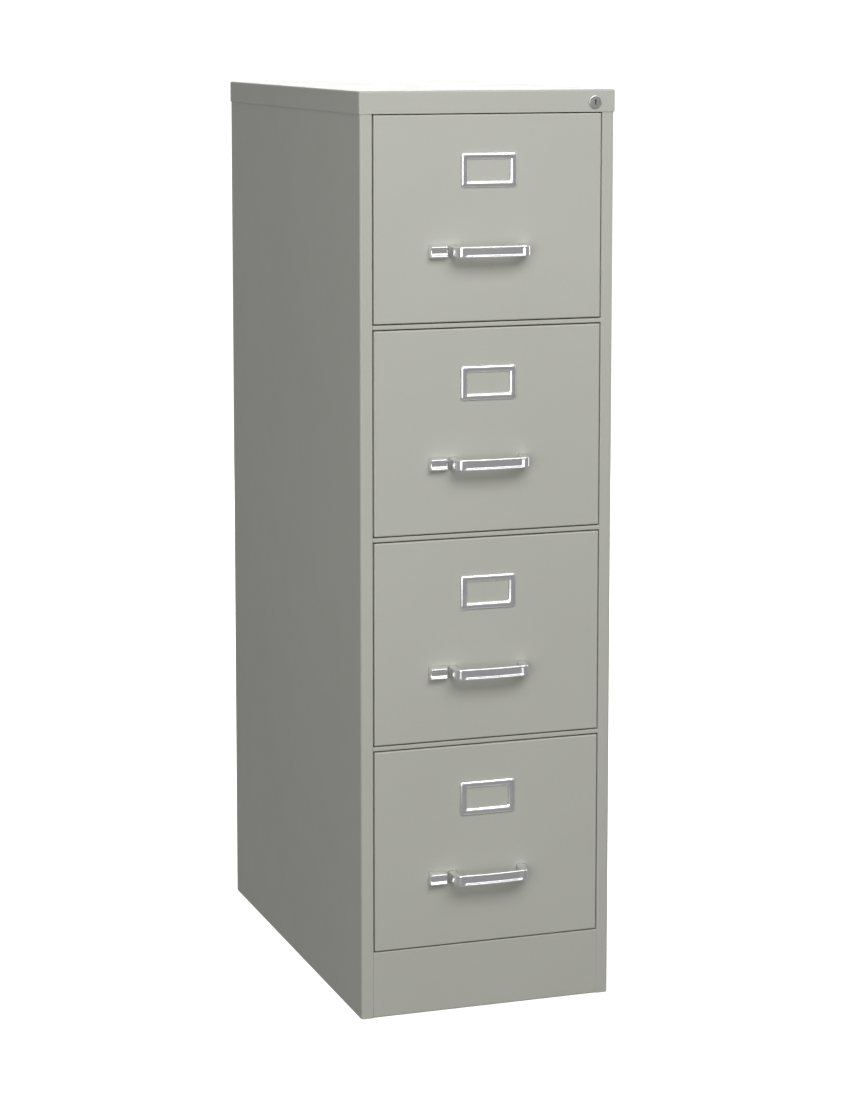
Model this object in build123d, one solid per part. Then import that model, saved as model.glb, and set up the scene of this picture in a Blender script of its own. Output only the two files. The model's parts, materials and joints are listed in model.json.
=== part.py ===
from build123d import *
import os
from math import cos, radians, sin

# A four-drawer vertical filing cabinet in folded sheet steel, letter width.
# Millimetres. +X is to the right of a person facing the drawers, +Z is up.
# Every piece is drawn with y = 0 on the plane of the header and drawer faces, y growing
# towards the back; save() then moves it so that the origin is the middle of the floor space.

# Overall sizes
CASE_W = 381.0            # over the cap: 15 in
CASE_D = 673.1            # over the cap: 26 1/2 in
CASE_H = 1320.8           # floor to top: 52 in
PULL_REACH = 30.0         # how far the pulls stand out of the drawer faces
GLIDE_LIFT = 1.5          # the glides hold the case this far off the floor
CASE_SHEET = 1.0          # case panels and drawer fronts
DRAWER_SHEET = 0.8
SLIDE_SHEET = 1.2
BEND = 1.5                # ordinary outside bend radius
CUT = 1.0                 # how far a cutting solid runs past what it cuts

# Front layout
DRAWERS = 4
HEADER_H = 31.6
FRONT_H = 290.0
REVEAL = 1.6              # gap all round each drawer front
RAIL_H = 6.2              # strip of case that shows between two drawers
STILE_W = 18.3
STILE_BEND = 4.0
STILE_RETURN = 10.0
REAR_FLANGE, REAR_BEND = 18.0, 2.5
RAIL_DEEP, RAIL_BEND = 28.0, 1.3
PANEL_RETURN = 20.0       # depth of the header rail and of the toe panel's flanges
HEADER_RAIL_DROP = 4.8    # header rail's top flange below the top of the case
TOE_BEND = 2.5
CAP_FIT = 0.2             # play between the cap's skirt and the wrapped case
CAP_CORNER = 3.0
CAP_EDGE = 2.5

WRAP_X = CASE_W / 2 - CASE_SHEET - CAP_FIT       # outside of the side panels
WRAP_FRONT = CASE_SHEET + CAP_FIT                # front face of the stiles
WRAP_BACK = CASE_D - CASE_SHEET - CAP_FIT
STILE_EDGE = WRAP_X - STILE_W                    # half the width of the drawer opening
INNER_X = WRAP_X - CASE_SHEET
PITCH = FRONT_H + 2 * REVEAL + RAIL_H
FRONT_X = STILE_EDGE - REVEAL                    # half the width of a drawer front
HEADER_Z = CASE_H - HEADER_H
TOE_TOP = HEADER_Z - DRAWERS * PITCH + RAIL_H
WRAP_TOP = CASE_H - 2 * CASE_SHEET

# Back panel and base
RIB_HALF, RIB_SLOPE, RIB_DEEP = 14.0, 4.0, 3.0
RIB_X = INNER_X / 2.6
BASE_Y = (22.0, 660.0)    # side angles, front to back
ANGLE_H = 40.0
REAR_ANGLE_Y = (638.0, 666.0)
LEG_EDGE = 160.0          # inner edge of the base angles' flat legs
GLIDE_X, GLIDE_Y = 174.0, (44.0, 628.0)
GLIDE_R, GLIDE_STEM_R, GLIDE_STEM_H = 11.0, 4.0, 8.5

# Drawer
FRONT_DEEP = 22.0         # depth of the hollow drawer front
FRONT_EDGE = 2.0          # rounding of the drawer front's edges
FRONT_CORNER = 1.5
LINER_DEEP, LINER_PLAY = 12.0, 0.1
TUB_X = 158.0             # half the outside width of the drawer body
TUB_LIFT = 12.0           # drawer body's underside above the bottom edge of its front
TUB_H = 250.0
TUB_BACK = 637.0
TUB_LIP = 8.0
TUB_FLANGE = 4.5          # front flanges that meet the liner, short of the lock bar's lugs
TUB_FLANGE_INSET = 4.0    # they stop this far short of the tub's top and bottom
BACK_Y = 625.0
BACK_H = 228.0
RUN_Y, RUN_HALF = (60.0, 600.0), 4.0  # slot in the drawer bottom for the follower

# Slides: three nested channels on each side of a drawer
SLIDE_LIFT = 62.0         # slide centre above the bottom edge of the front
SLIDE_FRONT = 34.0
SLIDE_X = 170.7           # back of the fixed channel
FIXED_LONG, MOVING_LONG = 610.0, 600.0
SLIDE_BEND = 2.0
# back of the channel, reach of its lips, half its height
FIXED = (SLIDE_X, 159.6, 22.5)
CARRIER = (167.4, 160.6, 19.0)
RAIL = (TUB_X, 164.8, 15.0)
UPRIGHT_Y = (32.0, 604.0)
UPRIGHT_DEEP = 40.0
UPRIGHT_Z = (42.0, 1286.0)

# File follower
FOLLOWER_Y, FOLLOWER_X = 560.0, 140.0
FOLLOWER_H, FOLLOWER_FOOT = 200.0, 62.0
FOLLOWER_LIFT = 0.4
TONGUE_X, TONGUE_HEAD_X = 3.6, 9.0
TONGUE_Y = (572.0, 592.0)
TONGUE_DROP, TONGUE_HEAD_H = 3.4, 1.5

# Pull: its two skins in plan, each by foot, knee, bend and shoulder on the left, then the crest
PULL_DROP = 190.4         # below the top edge of the drawer front
PULL_OUTER = ((-57.3, 0), (-55.3, -10.0), (-52.7, -20.0), (-45.3, -27.1), (0, -PULL_REACH))
PULL_INNER = ((-44.3, 0), (-43.3, -10.0), (-40.9, -17.6), (-34.3, -21.1), (0, 6.0 - PULL_REACH))
PULL_H = 16.0
FOOT_X, FOOT_HALF, FOOT_H, FOOT_THICK = 50.3, 8.4, 18.6, 2.4
SCREW_X, SCREW_R, SCREW_DEEP = 50.6, 1.95, 12.0
SCREW_HEAD_R, SCREW_HEAD_H = 3.8, 2.4

# Thumb latch
LATCH_X = -76.0
LATCH_W, LATCH_H, LATCH_REACH = 26.0, 20.0, 11.5
LATCH_GAP = 0.4           # between the button and the drawer face
LATCH_BACK, LATCH_ON = 3.0, 6.0       # travel to the right and left of the drawn-clear place
THUMB_R, THUMB_DEEP = 10.0, 2.5       # hollow across the button
STEM_R, STEM_SLOT = 2.5, 6.0
BOLT_Y = (13.0, 15.5)
BOLT_H = 11.0
BOLT_CLEAR = 0.6          # bolt's end short of the stile when drawn clear
BOLT_INNER_END = 8.0      # from the button's middle
GUIDE_X, GUIDE_HALF = (-150.0, -105.0), (6.0, 8.5)
GUIDE_PLAY, GUIDE_WALL = 0.4, 1.6

# Label holder
LABEL_DROP = 77.4
LABEL_W, LABEL_H, LABEL_RISE = 83.6, 49.6, 3.6
LABEL_CORNER, LABEL_EDGE = 3.0, 2.4
CARD_W, CARD_H, CARD_CORNER = 62.0, 29.0, 1.5
CARD_BEVEL = (2.2, 3.4)
TAB_X, TAB_HALF, TAB_Z = 30.0, 4.0, (-18.5, -17.5)
TAB_DEEP, TAB_PLAY = 2.6, 0.4

# Lock
LOCK_X, LOCK_Z = 159.5, CASE_H - 17.8
BEZEL_R, LOCK_R, PLUG_R = 9.75, 8.0, 6.0
BEZEL_RISE, PLUG_RISE = 2.2, 2.6
BARREL_BACK, PLUG_BACK = 21.0, 22.0
RUNNING = 0.05            # radial play of the plug in its housing
HOLE_PLAY = 0.1           # radial play of the barrel in the header
TAIL_HALF, TAIL_LONG = 2.5, 2.4       # square tail of the plug
CAM_Y, CAM_HALF, HUB_R = (22.2, 24.2), 4.2, 6.0
CRANK_R, CRANK_REST = 13.0, 45.0
CRANK_PIN_R, PIN_BACK = 2.0, 30.2
BAR_X = (173.0, 185.0)
BAR_Y = (26.0, 29.0)
BAR_FOOT = 200.0          # bar's lower end above the bottom edge of the lowest front
HEAD_X, HEAD_DROP, HEAD_RISE = 162.0, 8.0, 6.0
PIN_PLAY = 0.6
STRAP_X, STRAP_Y, STRAP_H = (171.0, 187.4), 24.2, 12.0
STRAP_LIFT, LOW_STRAP_LIFT = 128.0, 212.0
STRAP_PLAY = 0.4
LUG_X = 163.0
LUG_LIFT = 239.0          # lug above the bottom edge of its drawer front, lock open
LUG_H = 14.0
CATCH_X, CATCH_LIFT, CATCH_H = 169.0, 225.0, 12.0
CATCH_GAP, CATCH_THICK = 1.0, 3.0
CATCH_FOOT, CATCH_FOOT_LONG = 2.0, 23.0


def block(x, y, z):
    """A box given by its (low, high) limits along each axis."""
    middle = [(low + high) / 2 for low, high in (x, y, z)]
    return Pos(*middle) * Box(x[1] - x[0], y[1] - y[0], z[1] - z[0])


def both_ways(half):
    return -half, half


def left_and_right(shape):
    """The shape, drawn on the right, and its mirror image on the left."""
    return [shape, mirror(shape, about=Plane.YZ)]


def folded(outline, plane, length, sheet, bends=BEND):
    """Sheet bent along an open outline of its outer skin, the metal on the outline's right."""
    skin = FilletPolyline(*outline, radius=bends)
    strip = make_face(offset(skin, amount=sheet, side=Side.RIGHT))
    return extrude(plane * strip, amount=length, dir=plane.z_dir)


def along_x(outline, x, sheet, bends=BEND):
    return folded(outline, Plane.YZ.offset(x[0]), x[1] - x[0], sheet, bends)


def along_y(outline, y, sheet, bends=BEND):
    section = Plane(origin=(0, y[0], 0), x_dir=(1, 0, 0), z_dir=(0, -1, 0))
    return Pos(0, y[1] - y[0], 0) * folded(outline, section, y[1] - y[0], sheet, bends)


def along_z(outline, z, sheet, bends=BEND):
    return folded(outline, Plane.XY.offset(z[0]), z[1] - z[0], sheet, bends)


def rod(radius, y, x=0.0, z=0.0):
    """A round bar along the depth of the cabinet."""
    return Pos(x, (y[0] + y[1]) / 2, z) * Rot(90, 0, 0) * Cylinder(radius, y[1] - y[0])


def save(node, *solids):
    front = -(CASE_D - PULL_REACH) / 2
    moved = [Pos(0, front, 0) * solid for group in solids for solid in group.solids()]
    export_step(Compound(children=moved), f"parts/{node}.step")


# ---------------------------------------------------------------- case

def side_panel():
    """Right side and its folds, as two bodies: the front stile, and the wall with its rear flange."""
    outline = [
        (WRAP_X - REAR_FLANGE, WRAP_BACK), (WRAP_X, WRAP_BACK), (WRAP_X, WRAP_FRONT),
        (STILE_EDGE, WRAP_FRONT), (STILE_EDGE, WRAP_FRONT + STILE_RETURN),
    ]
    bends = [REAR_BEND, STILE_BEND, BEND]
    sheet = along_z(outline, (GLIDE_LIFT, WRAP_TOP), CASE_SHEET, bends)
    stile_zone = block((0, CASE_W), (0, WRAP_FRONT + STILE_RETURN), (0, CASE_H))
    return sheet & stile_zone, sheet - stile_zone


def back_panel():
    """Flat sheet inside the rear flanges, stiffened by two pressed ribs."""
    skin, edge = WRAP_BACK - CASE_SHEET, INNER_X - BEND
    outline = [(-edge, skin)]
    for centre in both_ways(RIB_X):
        outline += [
            (centre - RIB_HALF - RIB_SLOPE, skin), (centre - RIB_HALF, skin - RIB_DEEP),
            (centre + RIB_HALF, skin - RIB_DEEP), (centre + RIB_HALF + RIB_SLOPE, skin),
        ]
    outline.append((edge, skin))
    return along_z(outline, (GLIDE_LIFT, WRAP_TOP), CASE_SHEET)


def top_cap():
    """Pan that drops over the wrapped case; its front skirt is the header."""
    cap = block(both_ways(CASE_W / 2), (0, CASE_D), (HEADER_Z, CASE_H))
    cap = fillet(cap.edges().filter_by(Axis.Z), CAP_CORNER)
    cap = fillet(cap.faces().sort_by(Axis.Z)[-1].edges(), CAP_EDGE)
    inside = block(
        both_ways(CASE_W / 2 - CASE_SHEET),
        (CASE_SHEET, CASE_D - CASE_SHEET),
        (HEADER_Z - CUT, CASE_H - CASE_SHEET),
    )
    inside = fillet(inside.edges().filter_by(Axis.Z), CAP_CORNER - CASE_SHEET)
    inside = fillet(inside.faces().sort_by(Axis.Z)[-1].edges(), CAP_EDGE - CASE_SHEET)
    return cap - inside - lock_hole(CASE_SHEET)


def header_rail():
    """Channel behind the header that joins the two stiles and carries the lock."""
    top = CASE_H - HEADER_RAIL_DROP
    outline = [
        (PANEL_RETURN, HEADER_Z), (WRAP_FRONT, HEADER_Z), (WRAP_FRONT, top), (PANEL_RETURN, top),
    ]
    return along_x(outline, both_ways(STILE_EDGE), CASE_SHEET) - lock_hole(PANEL_RETURN)


def cross_rails():
    """One thin channel between each two drawers."""
    rails = []
    for drawer in range(1, DRAWERS):
        low = front_bottom(drawer) - REVEAL - RAIL_H
        high, deep = low + RAIL_H, WRAP_FRONT + RAIL_DEEP
        outline = [(deep, low), (WRAP_FRONT, low), (WRAP_FRONT, high), (deep, high)]
        rails.append(along_x(outline, both_ways(STILE_EDGE), CASE_SHEET, RAIL_BEND))
    return rails


def toe_panel():
    """Closes the front below the bottom drawer."""
    outline = [
        (PANEL_RETURN, GLIDE_LIFT), (WRAP_FRONT, GLIDE_LIFT),
        (WRAP_FRONT, TOE_TOP), (PANEL_RETURN, TOE_TOP),
    ]
    return along_x(outline, both_ways(STILE_EDGE), CASE_SHEET, [TOE_BEND, BEND])


def base_frame():
    """Two side angles and a rear angle that stiffen the bottom and take the glides."""
    outline = [(INNER_X, ANGLE_H), (INNER_X, GLIDE_LIFT), (LEG_EDGE, GLIDE_LIFT)]
    side = along_y(outline, BASE_Y, CASE_SHEET)
    for y in GLIDE_Y:
        side -= Pos(GLIDE_X, y, GLIDE_LIFT) * Cylinder(GLIDE_STEM_R + 0.2, 4 * CASE_SHEET)
    front, back = REAR_ANGLE_Y
    outline = [(back, ANGLE_H), (back, GLIDE_LIFT), (front, GLIDE_LIFT)]
    return [*left_and_right(side), along_x(outline, both_ways(LEG_EDGE), CASE_SHEET)]


def glides():
    """Four nylon feet pushed into the base angles from below."""
    foot = Pos(0, 0, GLIDE_LIFT / 2) * Cylinder(GLIDE_R, GLIDE_LIFT)
    foot = chamfer(foot.faces().sort_by(Axis.Z)[0].edges(), 0.6)
    foot += Pos(0, 0, GLIDE_LIFT + GLIDE_STEM_H / 2) * Cylinder(GLIDE_STEM_R, GLIDE_STEM_H)
    feet = [Pos(GLIDE_X, y, 0) * foot for y in GLIDE_Y]
    return [one for right in feet for one in left_and_right(right)]


def uprights():
    """Vertical channels inside each side panel, to which the slides are hooked."""
    posts = []
    for front in UPRIGHT_Y:
        back = front + UPRIGHT_DEEP
        outline = [(INNER_X, front), (SLIDE_X, front), (SLIDE_X, back), (INNER_X, back)]
        posts += left_and_right(along_z(outline, UPRIGHT_Z, CASE_SHEET))
    return posts


def slide_channel(section, length, drawer):
    """One rolled channel of a slide and its mirror image."""
    x_back, x_lip, half = section
    outline = [(x_lip, half), (x_back, half), (x_back, -half), (x_lip, -half)]
    if x_lip > x_back:
        outline.reverse()
    channel = along_y(outline, (SLIDE_FRONT, SLIDE_FRONT + length), SLIDE_SHEET, SLIDE_BEND)
    return left_and_right(Pos(0, 0, front_bottom(drawer) + SLIDE_LIFT) * channel)


def front_bottom(drawer):
    """Height of the bottom edge of a drawer front; drawer 1 is at the top."""
    return HEADER_Z - drawer * PITCH + RAIL_H + REVEAL


def slide_channels():
    """The outer channel of every slide, hooked to the uprights."""
    fixed = []
    for drawer in range(1, DRAWERS + 1):
        fixed += slide_channel(FIXED, FIXED_LONG, drawer)
    return fixed


# ---------------------------------------------------------------- lock

def lock_hole(deep):
    return rod(LOCK_R + HOLE_PLAY, (-CUT, deep + CUT), LOCK_X, LOCK_Z)


def lock_housing():
    """Pressed bezel and barrel, held in the header."""
    bezel = rod(BEZEL_R, (-BEZEL_RISE, 0), LOCK_X, LOCK_Z)
    bezel = fillet(bezel.faces().sort_by(Axis.Y)[0].edges(), 1.6)
    barrel = rod(LOCK_R, (-BEZEL_RISE / 2, BARREL_BACK), LOCK_X, LOCK_Z)
    bore = rod(PLUG_R + RUNNING, (-BEZEL_RISE - CUT, BARREL_BACK + CUT), LOCK_X, LOCK_Z)
    return bezel + barrel - bore


def lock_plug():
    """Turning plug with its keyway and a square tail for the cam."""
    plug = rod(PLUG_R, (-PLUG_RISE, PLUG_BACK))
    plug = chamfer(plug.faces().sort_by(Axis.Y)[0].edges(), 0.4)
    slot_y = (-PLUG_RISE - CUT, 5.0)
    plug -= block(both_ways(0.9), slot_y, both_ways(3.9))
    plug -= block((-0.9, 2.0), slot_y, (0.6, 2.2))
    tail = block(both_ways(TAIL_HALF), (PLUG_BACK, PLUG_BACK + TAIL_LONG), both_ways(TAIL_HALF))
    return Pos(LOCK_X, 0, LOCK_Z) * (plug + tail)


def crank_pin_place():
    turn = radians(CRANK_REST)
    return LOCK_X + CRANK_R * cos(turn), LOCK_Z + CRANK_R * sin(turn)


def lock_cam():
    """Arm on the plug's tail whose pin lifts and lowers the lock bar."""
    pin_x, pin_z = crank_pin_place()
    arm = Rot(0, -CRANK_REST, 0) * block((0, CRANK_R), CAM_Y, both_ways(CAM_HALF))
    square = block(
        both_ways(TAIL_HALF), (CAM_Y[0] - CUT, CAM_Y[1] + CUT), both_ways(TAIL_HALF),
    )
    cam = Pos(LOCK_X, 0, LOCK_Z) * (arm + rod(HUB_R, CAM_Y) - square)
    cam += rod(CAM_HALF, CAM_Y, pin_x, pin_z)
    return cam + rod(CRANK_PIN_R, (CAM_Y[1], PIN_BACK), pin_x, pin_z)


def lock_bar():
    """Bar behind the right stile, with a slotted head for the cam and a welded lug per drawer."""
    pin_z = crank_pin_place()[1]
    head_z = (pin_z - HEAD_DROP, pin_z + HEAD_RISE)
    play = CRANK_PIN_R + PIN_PLAY
    slot_x = (LOCK_X + CRANK_R * cos(radians(CRANK_REST)) - play, LOCK_X + CRANK_R + play)
    head = block((HEAD_X, BAR_X[1]), BAR_Y, head_z)
    head -= block(slot_x, (BAR_Y[0] - CUT, BAR_Y[1] + CUT), (pin_z - play, pin_z + play))
    solids = [head, block(BAR_X, BAR_Y, (front_bottom(DRAWERS) + BAR_FOOT, head_z[0]))]
    for drawer in range(1, DRAWERS + 1):
        low = front_bottom(drawer) + LUG_LIFT
        solids.append(block((LUG_X, BAR_X[0]), BAR_Y, (low, low + LUG_H)))
    return solids


def bar_guides():
    """Straps on the front right upright that keep the lock bar in line."""
    guides = []
    for drawer in range(1, DRAWERS + 1):
        lift = STRAP_LIFT if drawer < DRAWERS else LOW_STRAP_LIFT
        low = front_bottom(drawer) + lift - STRAP_H / 2
        strap = block(STRAP_X, (STRAP_Y, UPRIGHT_Y[0]), (low, low + STRAP_H))
        window = block(
            (BAR_X[0] - STRAP_PLAY, BAR_X[1] + STRAP_PLAY),
            (BAR_Y[0] - STRAP_PLAY, BAR_Y[1] + STRAP_PLAY),
            (low - CUT, low + STRAP_H + CUT),
        )
        guides.append(strap - window)
    return guides


# ---------------------------------------------------------------- drawers

def drawer_front(low):
    """Hollow pan that shows as the drawer's face, with the latch bolt's two guides in it."""
    high, pull_z = low + FRONT_H, low + FRONT_H - PULL_DROP
    pan = block(both_ways(FRONT_X), (0, FRONT_DEEP), (low, high))
    pan = fillet(pan.edges().filter_by(Axis.Y), FRONT_CORNER)
    pan = fillet(pan.faces().sort_by(Axis.Y)[0].edges(), FRONT_EDGE)
    hollow = block(
        both_ways(FRONT_X - CASE_SHEET), (CASE_SHEET, FRONT_DEEP + CUT),
        (low + CASE_SHEET, high - CASE_SHEET),
    )
    hollow = fillet(hollow.edges().filter_by(Axis.Y), FRONT_CORNER - DRAWER_SHEET)
    pan -= fillet(hollow.faces().sort_by(Axis.Y)[0].edges(), FRONT_EDGE - CASE_SHEET)
    pan -= Pos(LATCH_X + (LATCH_BACK - LATCH_ON) / 2, 0, pull_z) * stem_slot()
    pan -= bolt_mouth(pull_z)
    for side in (-1, 1):
        pan -= rod(SCREW_R + 0.35, (-CUT, CASE_SHEET + CUT), side * SCREW_X, pull_z)
        pan -= Pos(0, 0, high - LABEL_DROP) * tab(side, TAB_PLAY)
    return [pan, *bolt_guides(pull_z)]


def stem_slot():
    """Slot in the drawer face in which the latch's stem travels."""
    slot = SlotOverall(LATCH_BACK + LATCH_ON + STEM_SLOT, STEM_SLOT)
    return Rot(90, 0, 0) * extrude(slot, 4 * CASE_SHEET, both=True)


def bolt_guides(pull_z):
    """Two bridges behind the drawer face through which the latch bolt slides."""
    half_x, half_z = GUIDE_HALF
    half_window = BOLT_H / 2 + GUIDE_PLAY
    guides = []
    for x in GUIDE_X:
        bridge = block(
            (x - half_x, x + half_x), (CASE_SHEET, BOLT_Y[1] + GUIDE_WALL),
            (pull_z - half_z, pull_z + half_z),
        )
        window = block(
            (x - half_x - CUT, x + half_x + CUT), (BOLT_Y[0] - GUIDE_PLAY, BOLT_Y[1] + GUIDE_PLAY),
            (pull_z - half_window, pull_z + half_window),
        )
        guides.append(bridge - window)
    return guides


def bolt_mouth(pull_z):
    """The cut that lets the latch bolt out of the drawer front's left side."""
    half = BOLT_H / 2 + BOLT_CLEAR
    return block(
        (-FRONT_X - CUT, -FRONT_X + 4 * CASE_SHEET),
        (BOLT_Y[0] - BOLT_CLEAR, BOLT_Y[1] + BOLT_CLEAR),
        (pull_z - half, pull_z + half),
    )


def drawer_liner(low):
    """Inner panel that closes the back of the hollow drawer front."""
    play = CASE_SHEET + LINER_PLAY
    x, z = FRONT_X - play, (low + play, low + FRONT_H - play)
    liner = block(both_ways(x), (FRONT_DEEP - LINER_DEEP, FRONT_DEEP), z)
    liner = fillet(liner.edges().filter_by(Axis.Y), 1.2)
    liner -= block(
        both_ways(x - DRAWER_SHEET), (0, FRONT_DEEP - DRAWER_SHEET),
        (z[0] + DRAWER_SHEET, z[1] - DRAWER_SHEET),
    )
    return liner - bolt_mouth(low + FRONT_H - PULL_DROP)


def drawer_tub(low):
    """Folded bottom and sides, with the catch that the lock bar holds."""
    bottom, top = low + TUB_LIFT, low + TUB_LIFT + TUB_H
    lip = TUB_X - TUB_LIP
    outline = [
        (lip, top), (TUB_X, top), (TUB_X, bottom), (-TUB_X, bottom), (-TUB_X, top), (-lip, top),
    ]
    tub = along_y(outline, (FRONT_DEEP, TUB_BACK), DRAWER_SHEET)
    flange = block(
        (TUB_X - DRAWER_SHEET, TUB_X + TUB_FLANGE), (FRONT_DEEP, FRONT_DEEP + DRAWER_SHEET),
        (bottom + TUB_FLANGE_INSET, top - TUB_FLANGE_INSET),
    )
    tub += left_and_right(flange)
    tub -= block(both_ways(RUN_HALF), RUN_Y, (bottom - CUT, bottom + 2 * CUT))
    front, catch_z = BAR_Y[1] + CATCH_GAP, (low + CATCH_LIFT, low + CATCH_LIFT + CATCH_H)
    catch = block((TUB_X, CATCH_X), (front, front + CATCH_THICK), catch_z)
    catch += block((TUB_X, TUB_X + CATCH_FOOT), (front, front + CATCH_FOOT_LONG), catch_z)
    return [tub, catch]


def drawer_back(low):
    """Rear panel of the drawer body, its flanges pointing backwards."""
    x = TUB_X - DRAWER_SHEET
    outline = [(x, TUB_BACK), (x, BACK_Y), (-x, BACK_Y), (-x, TUB_BACK)]
    bottom = low + TUB_LIFT + DRAWER_SHEET + BEND
    return along_z(outline, (bottom, bottom + BACK_H), DRAWER_SHEET)


def follower(low):
    """Plate that holds the files upright; its tongue runs in the slot of the drawer bottom."""
    floor, y, foot = low + TUB_LIFT + DRAWER_SHEET, FOLLOWER_Y, FOLLOWER_Y + FOLLOWER_FOOT
    sole = floor + FOLLOWER_LIFT
    outline = [(foot, sole), (y, sole), (y, floor + FOLLOWER_H)]
    plate = along_x(outline, both_ways(FOLLOWER_X), DRAWER_SHEET)
    notch = block((60.0, FOLLOWER_X + CUT), (y + 3.0, foot + CUT), (floor - CUT, sole + 4.0))
    plate -= left_and_right(notch)
    tongue_z = (floor - TONGUE_DROP, floor + CUT)
    plate += block(both_ways(TONGUE_X), TONGUE_Y, tongue_z)
    head_z = (tongue_z[0], tongue_z[0] + TONGUE_HEAD_H)
    head_y = (TONGUE_Y[0] - 2.0, TONGUE_Y[1] + 2.0)
    return plate + block(both_ways(TONGUE_HEAD_X), head_y, head_z)


# ---------------------------------------------------------------- drawer furniture

def bow(foot, knee, bend, shoulder, crest):
    """One skin of the pull in plan: up the left leg, over the crest and down the right leg."""
    leg = Line(foot, knee) + ThreePointArc(knee, bend, shoulder)
    over = ThreePointArc(shoulder, crest, (-shoulder[0], shoulder[1]))
    return [leg, over, mirror(leg, about=Plane.YZ)]


def pull(pull_z):
    """Bow handle: two flat feet, two legs and a slightly bowed grip."""
    outer_foot, inner_foot = PULL_OUTER[0], PULL_INNER[0]
    sole = Line(outer_foot, inner_foot)
    outline = Curve() + bow(*PULL_OUTER) + bow(*PULL_INNER) + [sole, mirror(sole, about=Plane.YZ)]
    grip = extrude(make_face(outline.edges()), PULL_H / 2, both=True, dir=(0, 0, 1))
    grip = fillet(grip.edges().filter_by(Plane.XY), 2.0)
    foot = block(
        (FOOT_X - FOOT_HALF, FOOT_X + FOOT_HALF), (-FOOT_THICK, 0), both_ways(FOOT_H / 2),
    )
    foot = fillet(foot.edges().filter_by(Axis.Y), 2.0)
    grip += left_and_right(fillet(foot.faces().sort_by(Axis.Y)[0].edges(), 1.0))
    for side in (-1, 1):
        grip -= rod(SCREW_R + 0.05, (-SCREW_DEEP - 2.0, CUT), side * SCREW_X)
    return Pos(0, 0, pull_z) * grip


def pull_screws(pull_z):
    """Two machine screws driven from inside the drawer front into the pull's feet."""
    back = CASE_SHEET + SCREW_HEAD_H
    head = rod(SCREW_HEAD_R, (CASE_SHEET, back))
    head = fillet(head.faces().sort_by(Axis.Y)[-1].edges(), 1.0)
    recess_y = (back - 1.0, back + CUT)
    for half_x, half_z in ((0.5, 2.2), (2.2, 0.5)):
        head -= block(both_ways(half_x), recess_y, both_ways(half_z))
    screw = head + rod(SCREW_R, (-SCREW_DEEP, CASE_SHEET))
    return [Pos(side * SCREW_X, 0, pull_z) * screw for side in (-1, 1)]


def thumb_latch(pull_z):
    """Thumb button outside and the flat bolt that it carries inside the drawer front."""
    button = block(both_ways(LATCH_W / 2), (-LATCH_REACH, -LATCH_GAP), both_ways(LATCH_H / 2))
    button = fillet(button.edges().filter_by(Axis.Y), 2.0)
    hollow_y = -LATCH_REACH - THUMB_R + THUMB_DEEP
    button -= Pos(0, hollow_y, 0) * Rot(0, 90, 0) * Cylinder(THUMB_R, LATCH_W + 2 * CUT)
    button = fillet(button.faces().filter_by(GeomType.PLANE).sort_by(Axis.X)[0].edges(), 0.6)
    button += rod(STEM_R, (-LATCH_GAP - CUT, BOLT_Y[0]))
    bolt_end = -STILE_EDGE + BOLT_CLEAR - LATCH_X
    bolt = block((bolt_end, BOLT_INNER_END), BOLT_Y, both_ways(BOLT_H / 2))
    bolt = fillet(bolt.edges().filter_by(Axis.Y).sort_by(Axis.X)[:2], 1.5)
    return [Pos(LATCH_X, 0, pull_z) * solid for solid in (button, bolt)]


def tab(side, play):
    """A tab of the label holder, or with some play the slot it goes through."""
    x = side * TAB_X
    return block(
        (x - TAB_HALF - play, x + TAB_HALF + play), (-CUT, TAB_DEEP + play),
        (TAB_Z[0] - play, TAB_Z[1] + play),
    )


def label_holder(label_z):
    """Stamped frame with a rounded rim, held by two tabs through the drawer face."""
    frame = block(both_ways(LABEL_W / 2), (-LABEL_RISE, 0), both_ways(LABEL_H / 2))
    frame = fillet(frame.edges().filter_by(Axis.Y), LABEL_CORNER)
    frame = fillet(frame.faces().sort_by(Axis.Y)[0].edges(), LABEL_EDGE)
    window = block(both_ways(CARD_W / 2), (-LABEL_RISE - CUT, CUT), both_ways(CARD_H / 2))
    frame -= fillet(window.edges().filter_by(Axis.Y), CARD_CORNER)
    rim = frame.faces().filter_by(GeomType.PLANE).sort_by(Axis.Y)[0].inner_wires()[0]
    frame = chamfer(rim.edges(), *CARD_BEVEL)
    frame += tab(-1, 0) + tab(1, 0)
    return Pos(0, 0, label_z) * frame


def make_drawer(drawer):
    low, name = front_bottom(drawer), f"drawer{drawer}"
    pull_z, label_z = low + FRONT_H - PULL_DROP, low + FRONT_H - LABEL_DROP
    save(f"{name}_front", *drawer_front(low))
    save(f"{name}_liner", drawer_liner(low))
    save(f"{name}_tub", *drawer_tub(low))
    save(f"{name}_back", drawer_back(low))
    save(f"{name}_slide_rails", *slide_channel(RAIL, MOVING_LONG, drawer))
    save(f"{name}_slide_carriers", *slide_channel(CARRIER, MOVING_LONG, drawer))
    save(f"{name}_follower", follower(low))
    save(f"{name}_pull", pull(pull_z))
    save(f"{name}_pull_screws", *pull_screws(pull_z))
    save(f"{name}_thumb_latch", *thumb_latch(pull_z))
    save(f"{name}_label_holder", label_holder(label_z))


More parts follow.
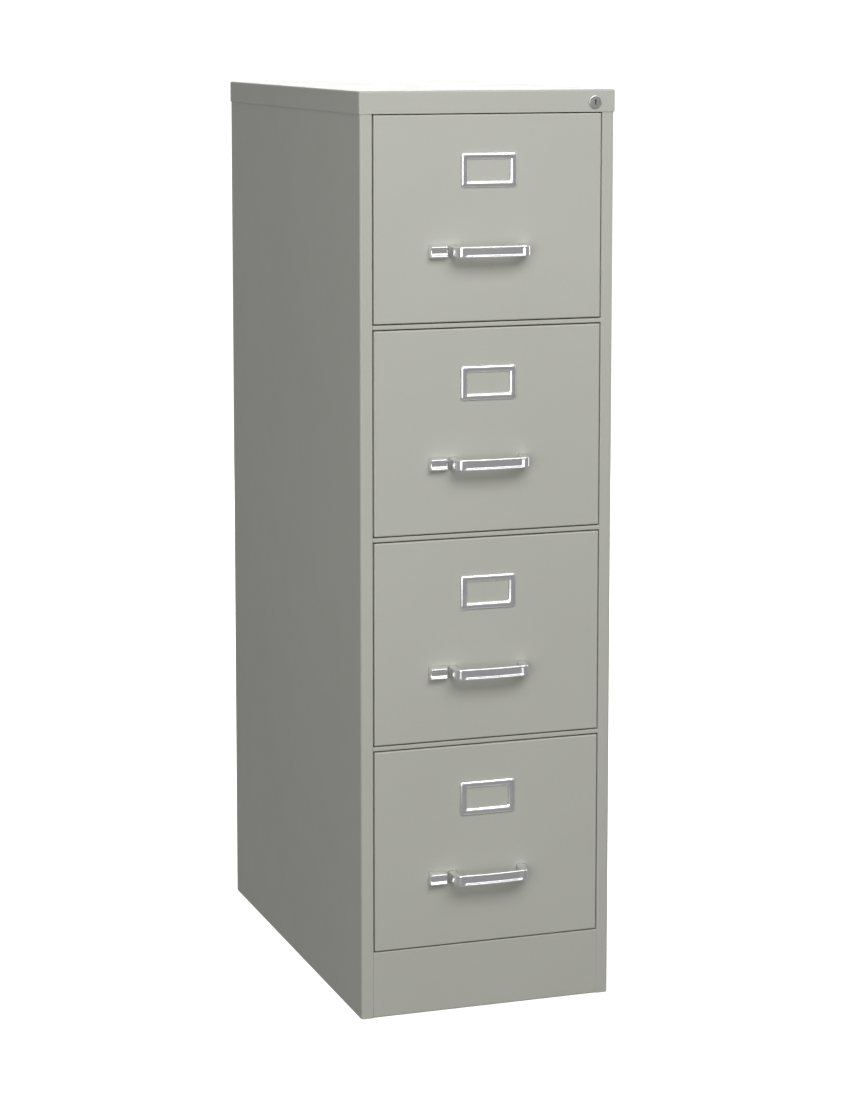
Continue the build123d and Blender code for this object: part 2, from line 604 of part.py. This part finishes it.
def make_case():
    stile, wall = side_panel()
    save("side_panel_right", stile, wall)
    save("side_panel_left", mirror(stile, about=Plane.YZ), mirror(wall, about=Plane.YZ))
    save("back_panel", back_panel())
    save("top_cap", top_cap())
    save("header_rail", header_rail())
    save("cross_rails", *cross_rails())
    save("toe_panel", toe_panel())
    save("base_frame", *base_frame())
    save("glides", *glides())
    save("uprights", *uprights())
    save("slide_channels", *slide_channels())
    save("lock_housing", lock_housing())
    save("lock_plug", lock_plug())
    save("lock_cam", lock_cam())
    save("lock_bar", *lock_bar())
    save("bar_guides", *bar_guides())


os.makedirs("parts", exist_ok=True)
make_case()
for number in range(1, DRAWERS + 1):
    make_drawer(number)
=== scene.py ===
import json
import math

import bmesh
import bpy
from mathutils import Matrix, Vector


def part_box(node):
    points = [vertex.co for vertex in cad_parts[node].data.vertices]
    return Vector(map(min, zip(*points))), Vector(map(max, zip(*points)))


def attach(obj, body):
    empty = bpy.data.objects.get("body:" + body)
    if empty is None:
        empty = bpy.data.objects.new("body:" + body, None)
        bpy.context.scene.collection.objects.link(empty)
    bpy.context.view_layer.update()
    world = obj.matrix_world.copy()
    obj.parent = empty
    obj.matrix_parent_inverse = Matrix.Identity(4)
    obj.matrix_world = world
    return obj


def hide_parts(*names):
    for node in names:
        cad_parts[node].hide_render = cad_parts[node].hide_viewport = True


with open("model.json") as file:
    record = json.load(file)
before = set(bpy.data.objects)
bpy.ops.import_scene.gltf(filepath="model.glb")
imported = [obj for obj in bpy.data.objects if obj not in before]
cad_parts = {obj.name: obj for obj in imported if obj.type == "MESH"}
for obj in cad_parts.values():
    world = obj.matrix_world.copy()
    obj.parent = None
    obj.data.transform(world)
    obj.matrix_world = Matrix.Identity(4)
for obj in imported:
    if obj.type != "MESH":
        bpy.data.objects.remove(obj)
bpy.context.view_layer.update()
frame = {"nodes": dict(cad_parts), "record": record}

# A four-drawer filing cabinet in light grey enamel with chrome furniture.
# Metres, in the frame of the CAD model: +X right, drawers face -Y, +Z up.

DRAWERS = (1, 2, 3, 4)
MM = 0.001


# ---------------------------------------------------------------- helpers

def node_box(name):
    """Centre, lowest and highest corner of a CAD node."""
    low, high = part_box(name)
    return (low + high) / 2, low, high


def new_object(name, mesh):
    piece = bpy.data.objects.new(name, mesh)
    bpy.context.scene.collection.objects.link(piece)
    return piece


def mesh_from(name, vertices, faces):
    mesh = bpy.data.meshes.new(name)
    mesh.from_pydata([tuple(v) for v in vertices], [], faces)
    mesh.validate()
    shape = bmesh.new()
    shape.from_mesh(mesh)
    bmesh.ops.recalc_face_normals(shape, faces=shape.faces)
    shape.to_mesh(mesh)
    shape.free()
    for face in mesh.polygons:
        face.use_smooth = True
    return new_object(name, mesh)


def loft(name, rings, closed_rings=False):
    """Skin over rings of points, all with the same number; capped unless the last ring joins the first."""
    count = len(rings[0])
    vertices = [point for ring in rings for point in ring]
    faces = []
    spans = len(rings) if closed_rings else len(rings) - 1
    for r in range(spans):
        here, there = r * count, ((r + 1) % len(rings)) * count
        for i in range(count):
            j = (i + 1) % count
            faces.append((here + i, here + j, there + j, there + i))
    if not closed_rings:
        faces.append(tuple(range(count - 1, -1, -1)))
        faces.append(tuple((len(rings) - 1) * count + i for i in range(count)))
    return mesh_from(name, vertices, faces)


def give(piece, material, slot, body, *replaced):
    """Material, slot name and body of a piece, and the CAD nodes that it stands in for; the slot name is not
    used.
    """
    piece.data.materials.clear()
    piece.data.materials.append(material)
    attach(piece, body)
    if replaced:
        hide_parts(*replaced)


def rounded_rectangle(half_x, half_z, radius, corner_steps=8, side_steps=0):
    """Points round a rectangle with rounded corners, counter-clockwise from +X."""
    arcs = []
    corners = ((1, -1, -90), (1, 1, 0), (-1, 1, 90), (-1, -1, 180))
    for side_x, side_z, start in corners:
        centre_x, centre_z = side_x * (half_x - radius), side_z * (half_z - radius)
        turns = [math.radians(start + 90 * step / corner_steps) for step in range(corner_steps + 1)]
        arcs.append([(centre_x + radius * math.cos(a), centre_z + radius * math.sin(a)) for a in turns])
    points = []
    for index, arc in enumerate(arcs):
        points += arc
        last, following = arc[-1], arcs[(index + 1) % 4][0]
        for step in range(1, side_steps + 1):
            t = step / (side_steps + 1)
            points.append((mix(last[0], following[0], t), mix(last[1], following[1], t)))
    return points


def mix(a, b, t):
    return a + (b - a) * t


def shade(colour, factor):
    return tuple(c * factor for c in colour)


def smooth_step(t):
    t = max(0.0, min(1.0, t))
    return t * t * (3 - 2 * t)


# ---------------------------------------------------------------- materials

class Graph:
    """Short names for building a node material."""

    def __init__(self, name):
        self.material = bpy.data.materials.new(name)
        self.material.use_nodes = True
        self.nodes = self.material.node_tree.nodes
        self.links = self.material.node_tree.links
        self.shader = self.nodes["Principled BSDF"]
        self.place = self.nodes.new("ShaderNodeTexCoord").outputs["Object"]

    def add(self, kind, **values):
        node = self.nodes.new(kind)
        for key, value in values.items():
            if hasattr(node, key):
                setattr(node, key, value)
            else:
                node.inputs[key].default_value = value
        return node

    def link(self, source, target):
        self.links.new(source, target)

    def noise(self, scale, detail=2.0, roughness=0.5):
        node = self.add("ShaderNodeTexNoise")
        node.inputs["Scale"].default_value = scale
        node.inputs["Detail"].default_value = detail
        node.inputs["Roughness"].default_value = roughness
        self.link(self.place, node.inputs["Vector"])
        return node.outputs["Fac"]

    def spread(self, source, low, high, from_low=0.3, from_high=0.7):
        node = self.add("ShaderNodeMapRange")
        for key, value in (("From Min", from_low), ("From Max", from_high),
                           ("To Min", low), ("To Max", high)):
            node.inputs[key].default_value = value
        self.link(source, node.inputs["Value"])
        return node.outputs["Result"]

    def blend(self, factor, first, second):
        node = self.add("ShaderNodeMix", data_type="RGBA")
        for key, value in (("Factor", factor), ("A", first), ("B", second)):
            socket = next(s for s in node.inputs if s.name == key and s.enabled)
            if isinstance(value, (tuple, list)):
                socket.default_value = (*value, 1.0)
            elif isinstance(value, (int, float)):
                socket.default_value = value
            else:
                self.link(value, socket)
        return next(s for s in node.outputs if s.enabled)

    def bump(self, height, distance, strength=1.0, below=None):
        node = self.add("ShaderNodeBump")
        node.inputs["Strength"].default_value = strength
        node.inputs["Distance"].default_value = distance
        self.link(height, node.inputs["Height"])
        if below is not None:
            self.link(below, node.inputs["Normal"])
        return node.outputs["Normal"]


def enamel(name, colour):
    """Baked grey enamel: faint mottling, orange peel, and a satin coat."""
    g = Graph(name)
    broad = g.spread(g.noise(3.0, 2.0), 0.0, 1.0)
    fine = g.spread(g.noise(260.0, 3.0), 0.0, 1.0)
    tone = g.blend(broad, shade(colour, 0.97), shade(colour, 1.05))
    speck = g.blend(fine, shade(colour, 0.985), shade(colour, 1.015))
    g.link(g.blend(0.5, tone, speck), g.shader.inputs["Base Color"])
    smudge = g.noise(14.0, 5.0, 0.65)
    g.link(g.spread(smudge, 0.40, 0.50), g.shader.inputs["Roughness"])
    peel = g.bump(g.noise(420.0, 1.0), 0.00006, 0.55)
    g.link(g.bump(g.noise(1500.0, 1.0), 0.00002, 0.4, peel), g.shader.inputs["Normal"])
    g.shader.inputs["Coat Weight"].default_value = 0.12
    g.shader.inputs["Coat Roughness"].default_value = 0.22
    g.shader.inputs["IOR"].default_value = 1.48
    return g.material


def plated(name, colour, rough_low, rough_high):
    """Bright plating: clean metal with faint handling marks in its gloss."""
    g = Graph(name)
    g.shader.inputs["Metallic"].default_value = 1.0
    veil = g.spread(g.noise(60.0, 4.0, 0.6), 0.0, 1.0, 0.35, 0.7)
    g.link(g.blend(veil, colour, shade(colour, 0.94)), g.shader.inputs["Base Color"])
    g.link(g.spread(g.noise(35.0, 6.0, 0.7), rough_low, rough_high), g.shader.inputs["Roughness"])
    g.link(g.bump(g.noise(900.0, 2.0), 0.00001, 0.5), g.shader.inputs["Normal"])
    return g.material


def zinc(name, colour):
    """Zinc-plated steel: soft spangle cells and rolling marks along the depth."""
    g = Graph(name)
    g.shader.inputs["Metallic"].default_value = 1.0
    cells = g.add("ShaderNodeTexVoronoi")
    cells.inputs["Scale"].default_value = 90.0
    g.link(g.place, cells.inputs["Vector"])
    spangle = g.spread(cells.outputs["Color"], 0.0, 1.0, 0.0, 1.0)
    g.link(g.blend(spangle, shade(colour, 0.9), colour), g.shader.inputs["Base Color"])
    stretch = g.add("ShaderNodeMapping")
    stretch.inputs["Scale"].default_value = (900.0, 12.0, 900.0)
    g.link(g.place, stretch.inputs["Vector"])
    rolled = g.add("ShaderNodeTexNoise")
    rolled.inputs["Scale"].default_value = 1.0
    g.link(stretch.outputs["Vector"], rolled.inputs["Vector"])
    g.link(g.spread(rolled.outputs["Fac"], 0.26, 0.42), g.shader.inputs["Roughness"])
    g.link(g.bump(rolled.outputs["Fac"], 0.00002, 0.4), g.shader.inputs["Normal"])
    return g.material


def nylon(name, colour):
    """Moulded black nylon with a fine grain."""
    g = Graph(name)
    grain = g.noise(1200.0, 2.0)
    g.link(g.blend(grain, colour, shade(colour, 1.5)), g.shader.inputs["Base Color"])
    g.link(g.spread(grain, 0.5, 0.65), g.shader.inputs["Roughness"])
    g.link(g.bump(grain, 0.00004, 0.5), g.shader.inputs["Normal"])
    return g.material


GREY = (0.462, 0.466, 0.418)
PAINT = enamel("grey_enamel", GREY)
DRAWER_PAINT = enamel("grey_enamel_drawer", shade(GREY, 1.01))
INNER_PAINT = enamel("grey_enamel_inside", shade(GREY, 0.9))
CHROME = plated("chrome_plate", (0.86, 0.86, 0.87), 0.17, 0.26)
LOCK_CHROME = plated("lock_chrome_plate", (0.62, 0.62, 0.61), 0.24, 0.34)
ZINC = zinc("zinc_plate", (0.66, 0.67, 0.68))
NYLON = nylon("black_nylon", (0.02, 0.02, 0.02))

SLOT_MATERIALS = {
    "case_paint": PAINT, "drawer_paint": DRAWER_PAINT, "inner_steel": INNER_PAINT,
    "zinc_steel": ZINC, "chrome": CHROME, "lock_chrome": LOCK_CHROME, "nylon": NYLON,
}


def finish_cad_nodes():
    """Every carried-over CAD node takes the material of its slot."""
    for part in frame["record"]["subparts"]:
        mesh = frame["nodes"][part["node"]].data
        mesh.materials.clear()
        mesh.materials.append(SLOT_MATERIALS[part["material_slot"]])


# ---------------------------------------------------------------- drawer furniture

# A pull is skinned with rings along its centre line. u is 0 at a foot and 1 in the middle of the grip.
# Thicknesses, heights and radii are half sizes in millimetres.
PULL_STEPS = 72
LEG_END = 0.30                           # u where the corner turns into the grip
FOOT_INSET, CORNER_INSET = 6.4, 6.0      # of the centre line, from the end of the pull and from the foot
CREST_INSET, GRIP_BOW = 5.5, 2.1         # of the corner behind the reach, and the grip's bulge past it
GRIP_FROM, GRIP_RUN = 0.12, 0.26         # u over which the leg's section becomes the grip's
LEG_THICK, GRIP_THICK = 6.2, 3.2
LEG_HIGH, GRIP_HIGH = 8.2, 7.8
LEG_RADIUS, GRIP_RADIUS = 3.0, 1.5
FLARE_END, FLARE_THICK, FLARE_HIGH = 0.05, 1.2, 1.0
CHANNEL_FROM, CHANNEL_RUN = 0.33, 0.04   # u over which the channel sinks
CHANNEL_DEEP, CHANNEL_FLAT, CHANNEL_WALL = 2.5, 4.4, 1.7


def pull_path(t, half, reach):
    """Centre line of the pull in plan, t from 0 at the left foot to 1 at the right."""
    side = -1 if t < 0.5 else 1
    u = min(t, 1 - t) * 2
    if u < LEG_END:
        angle = math.radians(90 * (u / LEG_END) ** 1.5)
        x = half - FOOT_INSET * MM - (CORNER_INSET * MM) * (1 - math.cos(angle))
        out = (reach - CREST_INSET * MM) * math.sin(angle) ** 0.9
    else:
        turn = (u - LEG_END) / (1 - LEG_END)
        x = (half - (FOOT_INSET + CORNER_INSET) * MM) * (1 - turn)
        out = reach - CREST_INSET * MM + GRIP_BOW * MM * (1 - (1 - turn) ** 2)
    return Vector((side * x, -out, 0))


def make_pull(drawer):
    """Cast bow pull: broad legs, and a flatter grip with a channel along its face."""
    node = f"drawer{drawer}_pull"
    centre, low, high = node_box(node)
    face_y, half, reach = high.y, (high.x - low.x) / 2, high.y - low.y
    rings = []
    for step in range(PULL_STEPS + 1):
        t = step / PULL_STEPS
        here = pull_path(t, half, reach)
        ahead = pull_path(min(1, t + 0.004), half, reach)
        behind = pull_path(max(0, t - 0.004), half, reach)
        along = (ahead - behind).normalized()
        if step in (0, PULL_STEPS):
            along = Vector((0, -1 if step == 0 else 1, 0))
        outward = Vector((along.y, -along.x, 0))
        u = min(t, 1 - t) * 2
        grip = smooth_step((u - GRIP_FROM) / GRIP_RUN)
        flare = 1 - smooth_step(u / FLARE_END)
        half_thick = (mix(LEG_THICK, GRIP_THICK, grip) + FLARE_THICK * flare) * MM
        half_high = (mix(LEG_HIGH, GRIP_HIGH, grip) + FLARE_HIGH * flare) * MM
        channel = CHANNEL_DEEP * MM * smooth_step((u - CHANNEL_FROM) / CHANNEL_RUN)
        radius = mix(LEG_RADIUS, GRIP_RADIUS, grip) * MM
        ring = []
        for x, z in rounded_rectangle(half_thick, half_high, radius, 6, 24):
            if x > 0:
                x -= channel * (1 - smooth_step((abs(z) - CHANNEL_FLAT * MM) / (CHANNEL_WALL * MM)))
            ring.append(Vector((centre.x, face_y, centre.z)) + here + outward * x + Vector((0, 0, z)))
        rings.append(ring)
    piece = loft(f"pull_{drawer}", rings)
    give(piece, CHROME, "chrome", f"drawer{drawer}", node)


WINDOW = (31.0, 14.5)                    # half width and half height of the card window, mm
HOLDER_RADIUS, WINDOW_RADIUS = 4.0, 1.6
# share of the way from the outer edge to the window, and height above the drawer face in mm
HOLDER_SECTION = (
    (0.0, 0.0), (0.0, 0.9), (0.05, 1.8), (0.14, 2.7), (0.27, 3.3), (0.42, 3.58), (0.56, 3.5),
    (0.70, 3.1), (0.82, 2.45), (0.92, 1.6), (0.985, 0.9), (1.0, 0.5), (1.0, 0.1),
)


def make_label_holder(drawer):
    """Stamped frame: steep outer edge, rounded crest, long slope down to the card window."""
    node = f"drawer{drawer}_label_holder"
    low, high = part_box(node)
    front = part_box(f"drawer{drawer}_front")[0].y
    centre = Vector(((low.x + high.x) / 2, front, (low.z + high.z) / 2))
    outer = Vector(((high.x - low.x) / 2, 0, (high.z - low.z) / 2))
    rings = []
    for share, rise in HOLDER_SECTION:
        half_x, half_z = mix(outer.x, WINDOW[0] * MM, share), mix(outer.z, WINDOW[1] * MM, share)
        radius = mix(HOLDER_RADIUS, WINDOW_RADIUS, share) * MM
        rings.append([
            centre + Vector((x, -rise * MM, z)) for x, z in rounded_rectangle(half_x, half_z, radius, 8)
        ])
    piece = loft(f"label_holder_{drawer}", rings, closed_rings=True)
    give(piece, CHROME, "chrome", f"drawer{drawer}", node)


# Thumb latch, mm: the button outside the drawer front, and the bolt and stem behind it.
BUTTON_W, BUTTON_H, BUTTON_RIGHT = 26.0, 20.0, -63.0
BUTTON_GAP, BUTTON_END = 0.4, 2.2        # off the drawer face, and the length of each rounded end
BUTTON_STEPS, BUTTON_RING = 26, 32
BOLT_THICK, BOLT_HALF_HIGH, BOLT_INNER_END, BOLT_RADIUS = 2.5, 5.5, -68.0, 1.5
# share of the bolt's thickness from its front, and how far its outline is drawn in there, mm
BOLT_SECTION = ((0.0, 0.35), (0.1, 0.1), (0.2, 0.0), (0.8, 0.0), (0.9, 0.1), (1.0, 0.35))
STEM_X, STEM_R, STEM_SIDES = -76.0, 2.5, 24
STEM_INTO_BUTTON, STEM_INTO_BOLT = 0.3, 0.2


def make_thumb_latch(drawer):
    """Thumb button with a ridge above and below a hollow, and what it carries."""
    node = f"drawer{drawer}_thumb_latch"
    low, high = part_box(node)
    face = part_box(f"drawer{drawer}_front")[0].y
    width, height, deep, gap = BUTTON_W * MM, BUTTON_H * MM, face - low.y, BUTTON_GAP * MM
    centre = Vector((BUTTON_RIGHT * MM - width / 2, face, (low.z + high.z) / 2))
    rings = []
    for step in range(BUTTON_STEPS + 1):
        x = -width / 2 + width * step / BUTTON_STEPS
        end = min(x + width / 2, width / 2 - x) / (BUTTON_END * MM)
        soft = 1 - (1 - min(1.0, end)) ** 2
        lift = mix(0.82, 1.0, math.sqrt(max(0.0, soft)))
        ring = []
        for index in range(BUTTON_RING + 1):
            z = math.cos(math.pi * index / BUTTON_RING)
            ridge = math.exp(-((abs(z) - 0.66) / 0.22) ** 2)
            body = (1 - abs(z) ** 7) ** 0.5 if abs(z) < 1 else 0.0
            out = deep * (0.74 + 0.26 * ridge) * body * lift
            ring.append(centre + Vector((x, -max(out, gap), z * height / 2 * mix(0.93, 1.0, soft))))
        for index in range(BUTTON_RING, -1, -8):
            z = math.cos(math.pi * index / BUTTON_RING)
            ring.append(centre + Vector((x, -gap, z * height / 2 * 0.9)))
        rings.append(ring)
    piece = loft(f"thumb_button_{drawer}", rings)
    give(piece, CHROME, "chrome", f"drawer{drawer}_latch", node)
    make_latch_bolt(drawer, low, high, face + gap)


def make_latch_bolt(drawer, low, high, stem_front):
    """Flat bolt behind the drawer front, and the round stem that joins it to the button."""
    thick, inner_end = BOLT_THICK * MM, BOLT_INNER_END * MM
    middle = Vector(((low.x + inner_end) / 2, 0, (low.z + high.z) / 2))
    half_long = (inner_end - low.x) / 2
    rings = []
    for share, inset in BOLT_SECTION:
        y = high.y - thick * (1 - share)
        half_x, half_z = half_long - inset * MM, (BOLT_HALF_HIGH - inset) * MM
        outline = rounded_rectangle(half_x, half_z, BOLT_RADIUS * MM, 5)
        rings.append([middle + Vector((x, y, z)) for x, z in outline])
    bolt = loft(f"latch_bolt_{drawer}", rings)
    give(bolt, ZINC, "chrome", f"drawer{drawer}_latch")
    axis, radius = Vector((STEM_X * MM, 0, middle.z)), STEM_R * MM
    turns = [math.tau * side / STEM_SIDES for side in range(STEM_SIDES)]
    rings = []
    for y in (stem_front - STEM_INTO_BUTTON * MM, high.y - thick + STEM_INTO_BOLT * MM):
        rings.append([axis + Vector((radius * math.cos(a), y, radius * math.sin(a))) for a in turns])
    stem = loft(f"latch_stem_{drawer}", rings)
    give(stem, ZINC, "chrome", f"drawer{drawer}_latch")


# ---------------------------------------------------------------- stage, light and camera

FLOOR_GLOW = 0.95
WORLD_FILL = 0.214
BACKDROP = 1.1
# height of a reflected ray (0 straight down, 1 straight up) and the grey that it meets there
STUDIO = ((0.0, 0.42), (1.0, 0.75), (0.3, 0.3), (0.5, 0.34), (0.62, 0.5))
# name, place, aimed at, width and height, watts
LIGHTS = (
    ("front_high", (0.3, -3.2, 3.4), (0.0, -0.3, 0.8), (4.0, 1.8), 108.0),
    ("front_left", (-2.6, -3.6, 1.3), (0.0, -0.3, 0.7), (2.0, 3.0), 63.6),
    ("right", (3.9, 0.6, 1.5), (0.2, 0.1, 0.7), (2.6, 3.0), 45.0),
    ("back", (1.7, 4.0, 2.0), (0.0, 0.3, 0.8), (2.6, 3.0), 65.0),
)


def make_floor():
    """Plain white floor that the cabinet neither mirrors nor is lit by."""
    size = 60.0
    mesh = bpy.data.meshes.new("floor")
    corners = [(-size, -size, 0), (size, -size, 0), (size, size, 0), (-size, size, 0)]
    mesh.from_pydata(corners, [], [(0, 1, 2, 3)])
    floor = new_object("floor", mesh)
    floor.visible_diffuse = False
    floor.visible_glossy = False
    g = Graph("pale_floor")
    g.link(g.blend(g.noise(0.8, 3.0), (0.90, 0.90, 0.90), (0.93, 0.93, 0.93)), g.shader.inputs["Base Color"])
    g.shader.inputs["Roughness"].default_value = 0.8
    g.shader.inputs["Emission Color"].default_value = (1, 1, 1, 1)
    g.shader.inputs["Emission Strength"].default_value = FLOOR_GLOW
    mesh.materials.append(g.material)


def make_light(name, place, target, size, power):
    data = bpy.data.lights.new(name, "AREA")
    data.shape, data.size, data.size_y = "RECTANGLE", size[0], size[1]
    data.energy = power
    lamp = bpy.data.objects.new(name, data)
    bpy.context.scene.collection.objects.link(lamp)
    lamp.location = place
    lamp.rotation_euler = (Vector(target) - Vector(place)).to_track_quat("-Z", "Y").to_euler()


def make_world():
    """White backdrop, an even fill, and a studio gradient for the plated parts to mirror."""
    world = bpy.data.worlds.new("studio")
    world.use_nodes = True
    bpy.context.scene.world = world
    nodes, links = world.node_tree.nodes, world.node_tree.links
    nodes.clear()
    rays, place = nodes.new("ShaderNodeLightPath"), nodes.new("ShaderNodeTexCoord")
    axes, studio = nodes.new("ShaderNodeSeparateXYZ"), nodes.new("ShaderNodeValToRGB")
    links.new(place.outputs["Generated"], axes.inputs[0])
    height = nodes.new("ShaderNodeMapRange")
    height.inputs["From Min"].default_value = -1.0
    links.new(axes.outputs["Z"], height.inputs["Value"])
    links.new(height.outputs["Result"], studio.inputs["Fac"])
    stops = studio.color_ramp.elements
    for index, (where, grey) in enumerate(STUDIO):
        stop = stops[index] if index < 2 else stops.new(where)
        stop.position, stop.color = where, (grey, grey, grey, 1)
    shaders = [nodes.new("ShaderNodeBackground") for _ in range(3)]
    fill, mirrored, seen = shaders
    fill.inputs["Strength"].default_value = WORLD_FILL
    seen.inputs["Strength"].default_value = BACKDROP
    links.new(studio.outputs["Color"], mirrored.inputs["Color"])
    for shader in (fill, seen):
        shader.inputs["Color"].default_value = (1, 1, 1, 1)
    glossy, camera = nodes.new("ShaderNodeMixShader"), nodes.new("ShaderNodeMixShader")
    out = nodes.new("ShaderNodeOutputWorld")
    links.new(rays.outputs["Is Glossy Ray"], glossy.inputs["Fac"])
    links.new(fill.outputs[0], glossy.inputs[1])
    links.new(mirrored.outputs[0], glossy.inputs[2])
    links.new(rays.outputs["Is Camera Ray"], camera.inputs["Fac"])
    links.new(glossy.outputs[0], camera.inputs[1])
    links.new(seen.outputs[0], camera.inputs[2])
    links.new(camera.outputs[0], out.inputs["Surface"])


def make_camera():
    """Left of the drawers and a little above the top, with a small vertical shift."""
    yaw, pitch = 0.3302, -0.1203
    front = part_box("top_cap")[0].y
    data = bpy.data.cameras.new("camera")
    data.sensor_width, data.sensor_fit = 36.0, "AUTO"
    data.lens = 96.1
    data.shift_y = -0.16
    data.clip_start, data.clip_end = 0.05, 200.0
    camera = bpy.data.objects.new("camera", data)
    bpy.context.scene.collection.objects.link(camera)
    camera.location = (-1.4247, front - 3.8682, 1.4191)
    ahead = Vector((math.sin(yaw) * math.cos(pitch), math.cos(yaw) * math.cos(pitch), math.sin(pitch)))
    camera.rotation_euler = ahead.to_track_quat("-Z", "Y").to_euler()
    bpy.context.scene.camera = camera


bpy.context.scene.view_settings.view_transform = "Standard"
make_world()
make_floor()
make_camera()
for name, place, target, size, power in LIGHTS:
    make_light(name, place, target, size, power)

finish_cad_nodes()
for drawer in DRAWERS:
    make_pull(drawer)
    make_label_holder(drawer)
    make_thumb_latch(drawer)
